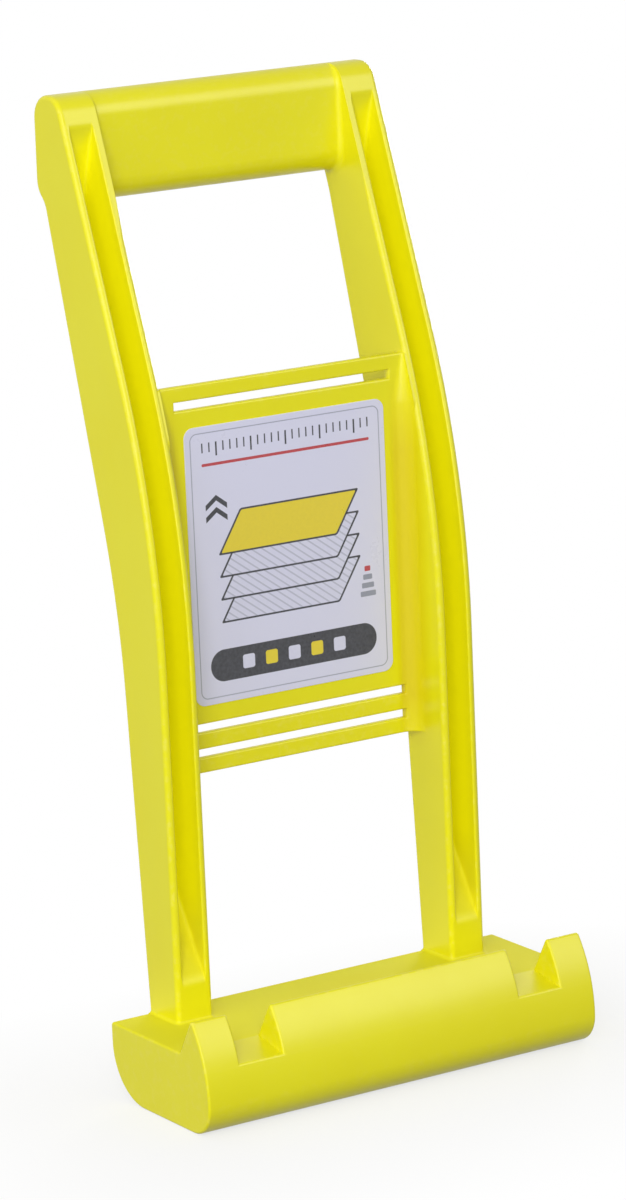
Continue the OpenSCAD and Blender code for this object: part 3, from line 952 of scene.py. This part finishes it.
def label_film(s):
    """Printed film: a frame line, a tick scale, a stack of sheets, two chevrons, a small pile of blocks
    and a dark bar on a pale ground, under a satin laminate."""
    made = bpy.data.materials.get("label_film_finish")
    if made:
        return made
    paint = Paint("label_film_finish")
    f = s.finish
    x, _, z = paint.place()
    wide = x * 1000.0
    tall = (z - (s.label.bottom + s.label.top) / 2) * 1000.0
    crisp = 6.0

    def inside(value, middle, half):
        """1 where a value lies within half of the middle, with a crisp edge."""
        return ((half - abs(value - middle)) * crisp + 0.5).clamped()

    def block(middle, half, radius, across=wide, up=tall):
        """A block with rounded corners, from its distance field."""
        over_x = abs(across - middle[0]) - (half[0] - radius)
        over_z = abs(up - middle[1]) - (half[1] - radius)
        outside = (over_x.most(0.0) ** 2.0 + over_z.most(0.0) ** 2.0) ** 0.5
        return ((radius - outside - over_x.most(over_z).least(0.0)) * crisp + 0.5).clamped()

    ink = paint.noise(900.0, 2.0)
    ground = paint.mix((paint.noise(14.0, 2.0) - 0.3) * 0.25, tuple(f.film), (0.642, 0.650, 0.790))
    picture = ground

    def print_on(mask, tint, strength=0.97):
        nonlocal picture
        picture = paint.mix(mask * (strength - (ink - 0.5) * 0.08), picture, tuple(tint))

    print_on(block((0.0, 0.0), (41.2, 49.7), 3.0) - block((0.0, 0.0), (40.8, 49.3), 2.6), f.grey, 0.8)
    ticks = inside((wide + 1.5) % 3.0, 1.5, 0.28) * inside(tall, 44.0, 1.8)
    long_ticks = inside((wide + 7.5) % 15.0, 7.5, 0.36) * inside(tall, 43.2, 2.6)
    print_on(ticks.most(long_ticks) * inside(wide, 0.0, 36.6), f.charcoal)
    print_on(block((0.0, 37.6), (36.5, 0.55), 0.5), f.red)
    for step, tint in enumerate((f.grey, f.grey, f.grey, f.print_yellow)):
        level = -14.0 + 8.5 * step
        lean = wide - (tall - level) * 0.62
        print_on(block((0.0, level), (26.0, 8.2), 0.8, lean, tall), f.charcoal)
        inner = tuple(f.film) if step < 3 else tint
        print_on(block((0.0, level), (25.1, 7.5), 0.6, lean, tall), inner)
        if step < 3:
            hatch = inside((lean + tall * 2.0) % 4.0, 2.0, 0.5)
            print_on(block((0.0, level), (25.1, 7.5), 0.6, lean, tall) * hatch, tint, 0.45)
    for level in (20.5, 25.0):
        chevron = inside(tall + abs(wide + 31.0) * 0.75, level, 1.05) * inside(wide, -31.0, 4.6)
        print_on(chevron, f.charcoal)
    for level in range(4):
        tint = f.red if level == 3 else f.grey
        print_on(block((33.6, -21.0 + 3.2 * level), (3.4 - 0.7 * level, 1.0), 0.4), tint)
    print_on(block((0.0, -38.0), (36.5, 6.0), 5.9), f.charcoal)
    for spot in range(5):
        print_on(block((-20.0 + 10.0 * spot, -38.0), (2.6, 2.6), 0.9), f.print_yellow if spot % 2 else f.film)
    roughness = 0.30 + (paint.noise(70.0, 3.0) - 0.5) * 0.12 + (ink - 0.5) * 0.05
    wave = paint.noise(38.0, 2.0) + paint.noise(700.0, 1.0) * 0.05
    bump = paint.node("ShaderNodeBump", None, {"Strength": 0.25, "Distance": 0.0006, "Height": wave})
    return paint.finish(Base_Color=picture, Roughness=roughness, Normal=bump.outputs[0], Coat_Weight=0.25,
                        Coat_Roughness=0.18)


# Operators

def settings(context):
    """The scene's carrier settings."""
    return context.scene.carrier


class CARRIER_OT_handle(bpy.types.Operator):
    """Makes the rounded grip bar with its end fillets"""
    bl_idname = "carrier.handle"
    bl_label = "Grip bar"

    def execute(self, context):
        s = settings(context)
        make_handle(s).build("grip_bar", yellow_plastic(s), "yellow_plastic", ["handle_bar"])
        return {"FINISHED"}


class CARRIER_OT_rails(bpy.types.Operator):
    """Makes the two bent channel rails"""
    bl_idname = "carrier.rails"
    bl_label = "Rails"

    def execute(self, context):
        s = settings(context)
        for name, side in (("left_rail", -1), ("right_rail", 1)):
            make_rail(s, side).build("channel_" + name, yellow_plastic(s), "yellow_plastic", [name])
        return {"FINISHED"}


class CARRIER_OT_plate(bpy.types.Operator):
    """Makes the slotted plate between the rails"""
    bl_idname = "carrier.plate"
    bl_label = "Label plate"

    def execute(self, context):
        s = settings(context)
        make_plate(s).build("slotted_plate", yellow_plastic(s), "yellow_plastic", ["label_plate"])
        return {"FINISHED"}


class CARRIER_OT_label(bpy.types.Operator):
    """Makes the adhesive label with its print"""
    bl_idname = "carrier.label"
    bl_label = "Label"

    def execute(self, context):
        s = settings(context)
        d = s.label
        box = [at(-d.half, d.bottom), at(d.half, d.bottom), at(d.half, d.top), at(-d.half, d.top)]
        loop = np.concatenate([corner_arc(box[i - 1], box[i], box[(i + 1) % 4], d.corner, 12)
                               for i in range(4)])
        skin = Skin()
        prism(skin, refine(loop, 4 * MM, closed=True), d.front, d.front + d.thickness, 0.14 * MM, 0.0,
              along_y, [d.front + 0.2 * MM])
        skin.build("printed_label", label_film(s), "label_film", ["label"])
        return {"FINISHED"}


class CARRIER_OT_shell(bpy.types.Operator):
    """Makes the shelf's floor, bowed front and bottom as one band"""
    bl_idname = "carrier.shell"
    bl_label = "Shelf shell"

    def execute(self, context):
        s = settings(context)
        f = s.shelf
        loop = refine(shell_outline(s), 2.5 * MM, closed=True)
        step = 0.4 * MM
        ends = [f.notch_inner - step, f.notch_inner + step, f.notch_outer - step, f.notch_outer + step]
        right = np.sort(np.concatenate([np.linspace(4 * MM, f.bay - 1 * MM, 16), ends]))
        rows = np.concatenate([-right[::-1], right])
        in_notch = (np.abs(rows) > f.notch_inner) & (np.abs(rows) < f.notch_outer)
        under_lip = np.linalg.norm(loop[:, None] - notch_edge(s)[0][None], axis=-1).min(1) < 1.5 * MM
        skin = Skin()
        prism(skin, loop, -f.bay, f.bay, rows=rows, bare=np.where(in_notch[:, None], 1.0, ~under_lip[None]))
        skin.build("shelf_shell", yellow_plastic(s), "yellow_plastic",
                   ["shelf_floor", "front_wall", "bottom_wall"])
        return {"FINISHED"}


class CARRIER_OT_lips(bpy.types.Operator):
    """Makes the three lengths of the lip"""
    bl_idname = "carrier.lips"
    bl_label = "Lips"

    def execute(self, context):
        s = settings(context)
        f = s.shelf
        loop = refine(lip_outline(s), 2.0 * MM, closed=True)
        bare = exposed(loop, s)
        for name, start, end, first, last in (
                ("left_lip", -f.bay, -f.notch_outer, 0.0, f.edge),
                ("center_lip", -f.notch_inner, f.notch_inner, f.edge, f.edge),
                ("right_lip", f.notch_outer, f.bay, f.edge, 0.0)):
            skin = Skin()
            prism(skin, loop, start, end, first, last, bare=bare)
            skin.build("wedge_" + name, yellow_plastic(s), "yellow_plastic", [name])
        return {"FINISHED"}


class CARRIER_OT_ends(bpy.types.Operator):
    """Makes the two D-shaped end walls"""
    bl_idname = "carrier.ends"
    bl_label = "End walls"

    def execute(self, context):
        s = settings(context)
        f = s.shelf
        loop = refine(end_outline(s), 2.0 * MM, closed=True)
        for name, start, end, first, last in (
                ("left_end_wall", -f.end, -f.bay, f.edge, 0.0),
                ("right_end_wall", f.bay, f.end, 0.0, f.edge)):
            skin = Skin()
            prism(skin, loop, start, end, first, last)
            skin.build("closed_" + name, yellow_plastic(s), "yellow_plastic", [name])
        return {"FINISHED"}


class CARRIER_OT_ribs(bpy.types.Operator):
    """Makes the ribs under the floor"""
    bl_idname = "carrier.ribs"
    bl_label = "Ribs"

    def execute(self, context):
        s = settings(context)
        f = s.shelf
        loop = refine(rib_outline(s), 2.5 * MM, closed=True)
        _, _, heel, *_ = shelf_curves(s)
        bare = (np.abs(np.linalg.norm(loop - heel, axis=1) - f.heel) < 0.05 * MM) & (loop[:, 0] > heel[0])
        rounding = np.where(bare, 0.6 * MM, 0.0)
        half = s.rail.flange / 2
        middles = np.concatenate([[-s.rail.outer + half, -s.rail.inner - half],
                                  s.rail.inner * (2 * np.arange(1, f.ribs + 1) / (f.ribs + 1) - 1),
                                  [s.rail.inner + half, s.rail.outer - half]])
        skin = Skin()
        for middle in middles:
            prism(skin, loop, middle - f.rib / 2, middle + f.rib / 2, rounding, rounding, rows=[middle])
        skin.build("under_ribs", yellow_plastic(s), "yellow_plastic", ["shelf_ribs"])
        return {"FINISHED"}


class CARRIER_OT_studio(bpy.types.Operator):
    """Sets up the floor, the soft lamps, the even light and the camera"""
    bl_idname = "carrier.studio"
    bl_label = "Studio"

    def execute(self, context):
        s = settings(context)
        scene = context.scene
        scene.view_settings.view_transform = "Standard"
        self.floor(s, scene)
        self.world(s, scene)
        for name, power, size, place in (("rear_lamp", s.studio.rear, 0.6, (1.50, 1.30, 0.35)),
                                         ("sheen_lamp", s.studio.sheen, 1.1, (1.00, -1.40, 1.10)),
                                         ("front_lamp", s.studio.front, 1.2, (-1.20, -1.67, 0.95)),
                                         ("side_lamp", s.studio.side, 1.4, (-2.0, -0.4, 0.9))):
            lamp = bpy.data.lights.new(name, "AREA")
            lamp.energy = power
            lamp.size = size
            holder = bpy.data.objects.new(name, lamp)
            scene.collection.objects.link(holder)
            holder.visible_diffuse = name != "sheen_lamp"
            holder.location = place
            towards = Vector((0, 0.02, 0.17)) - holder.location
            holder.rotation_euler = towards.to_track_quat("-Z", "Y").to_euler()
        self.camera(s, scene)
        return {"FINISHED"}

    def floor(self, s, scene):
        """A flat pale floor whose own faint glow lifts it to white for the camera and keeps the shadow."""
        mesh = bpy.data.meshes.new("studio_floor")
        reach = 14.0
        mesh.from_pydata([(-reach, -reach, 0), (reach, -reach, 0), (reach, reach, 0), (-reach, reach, 0)], [],
                         [(0, 1, 2, 3)])
        floor = bpy.data.objects.new("studio_floor", mesh)
        scene.collection.objects.link(floor)
        paint = Paint("studio_floor_finish")
        path = paint.node("ShaderNodeLightPath")
        seen = Wire(paint, path.outputs["Is Camera Ray"]).most(Wire(paint, path.outputs["Is Glossy Ray"]))
        seen = seen.most(Wire(paint, path.outputs["Is Transmission Ray"]))
        x, y, _ = paint.place()
        away = ((abs(x) - 0.085).most(0.0) ** 2.0 + (abs(y) - 0.03).most(0.0) ** 2.0) ** 0.5
        white_share = 0.70 + (away / 0.12).clamped() * 0.30
        tint = paint.mix(seen, tuple(s.studio.floor), (0.95, 0.95, 0.95))
        matte = paint.node("ShaderNodeBsdfDiffuse", None, {"Color": tint})
        white = paint.node("ShaderNodeEmission", None, {"Color": (1.0, 1.0, 1.0, 1.0), "Strength": 1.0})
        blend = paint.node("ShaderNodeMixShader", None,
                           {0: seen * white_share, 1: matte.outputs[0], 2: white.outputs[0]})
        paint.tree.links.new(blend.outputs[0], paint.output.inputs["Surface"])
        mesh.materials.append(paint.material)

    def world(self, s, scene):
        """Even white light; the camera and mirror-like rays see it at full white."""
        world = bpy.data.worlds.new("studio_light")
        scene.world = world
        world.use_nodes = True
        nodes, links = world.node_tree.nodes, world.node_tree.links
        nodes.clear()
        path = nodes.new("ShaderNodeLightPath")
        even = nodes.new("ShaderNodeBackground")
        even.inputs["Strength"].default_value = s.studio.world
        white = nodes.new("ShaderNodeBackground")
        white.inputs["Strength"].default_value = 1.0
        for made in (even, white):
            made.inputs["Color"].default_value = (1.0, 1.0, 1.0, 1.0)
        blend = nodes.new("ShaderNodeMixShader")
        seen = path.outputs["Is Camera Ray"]
        for kind in ("Is Glossy Ray", "Is Transmission Ray"):
            most = nodes.new("ShaderNodeMath")
            most.operation = "MAXIMUM"
            links.new(seen, most.inputs[0])
            links.new(path.outputs[kind], most.inputs[1])
            seen = most.outputs[0]
        links.new(seen, blend.inputs[0])
        links.new(even.outputs[0], blend.inputs[1])
        links.new(white.outputs[0], blend.inputs[2])
        links.new(blend.outputs[0], nodes.new("ShaderNodeOutputWorld").inputs["Surface"])

    def camera(self, s, scene):
        """The camera stands at the given distance from the aim, turned by azimuth, elevation and roll."""
        d = s.studio
        data = bpy.data.cameras.new("camera")
        data.sensor_width = 36.0
        data.lens = d.lens
        data.clip_start = 0.01
        data.clip_end = 60.0
        camera = bpy.data.objects.new("camera", data)
        scene.collection.objects.link(camera)
        turn = (Matrix.Rotation(-d.azimuth, 4, "Z") @ Matrix.Rotation(QUARTER - d.elevation, 4, "X")
                @ Matrix.Rotation(d.roll, 4, "Z"))
        back = Matrix.Translation((0, 0, d.distance))
        camera.matrix_world = Matrix.Translation(Vector(d.aim)) @ turn @ back
        scene.camera = camera


class CARRIER_PT_panel(bpy.types.Panel):
    """Lists the carrier's pieces"""
    bl_idname = "CARRIER_PT_panel"
    bl_label = "Panel carrier"
    bl_space_type = "VIEW_3D"
    bl_region_type = "UI"
    bl_category = "Carrier"

    def draw(self, context):
        for operator in OPERATORS:
            self.layout.operator(operator.bl_idname)
        for group in ("rail", "handle", "plate", "shelf", "label", "finish", "studio"):
            column = self.layout.box().column()
            column.label(text=group.capitalize())
            for key in getattr(context.scene.carrier, group).bl_rna.properties.keys():
                if key not in ("rna_type", "name"):
                    column.prop(getattr(context.scene.carrier, group), key)


GROUPS = (RailSizes, HandleSizes, PlateSizes, ShelfSizes, LabelSizes, Finishes, StudioSetup, CarrierSettings)
OPERATORS = (CARRIER_OT_studio, CARRIER_OT_shell, CARRIER_OT_ends, CARRIER_OT_lips, CARRIER_OT_ribs,
             CARRIER_OT_rails, CARRIER_OT_plate, CARRIER_OT_handle, CARRIER_OT_label)


def register():
    """Registers the settings, the operators and the panel."""
    for item in (*GROUPS, *OPERATORS, CARRIER_PT_panel):
        bpy.utils.register_class(item)
    bpy.types.Scene.carrier = PointerProperty(type=CarrierSettings)


def unregister():
    """Takes them out again."""
    del bpy.types.Scene.carrier
    for item in reversed((*GROUPS, *OPERATORS, CARRIER_PT_panel)):
        bpy.utils.unregister_class(item)


def main():
    """Builds the scene."""
    register()
    bpy.ops.carrier.studio()
    bpy.ops.carrier.shell()
    bpy.ops.carrier.ends()
    bpy.ops.carrier.lips()
    bpy.ops.carrier.ribs()
    bpy.ops.carrier.rails()
    bpy.ops.carrier.plate()
    bpy.ops.carrier.handle()
    bpy.ops.carrier.label()


if __name__ == "__main__":
    main()
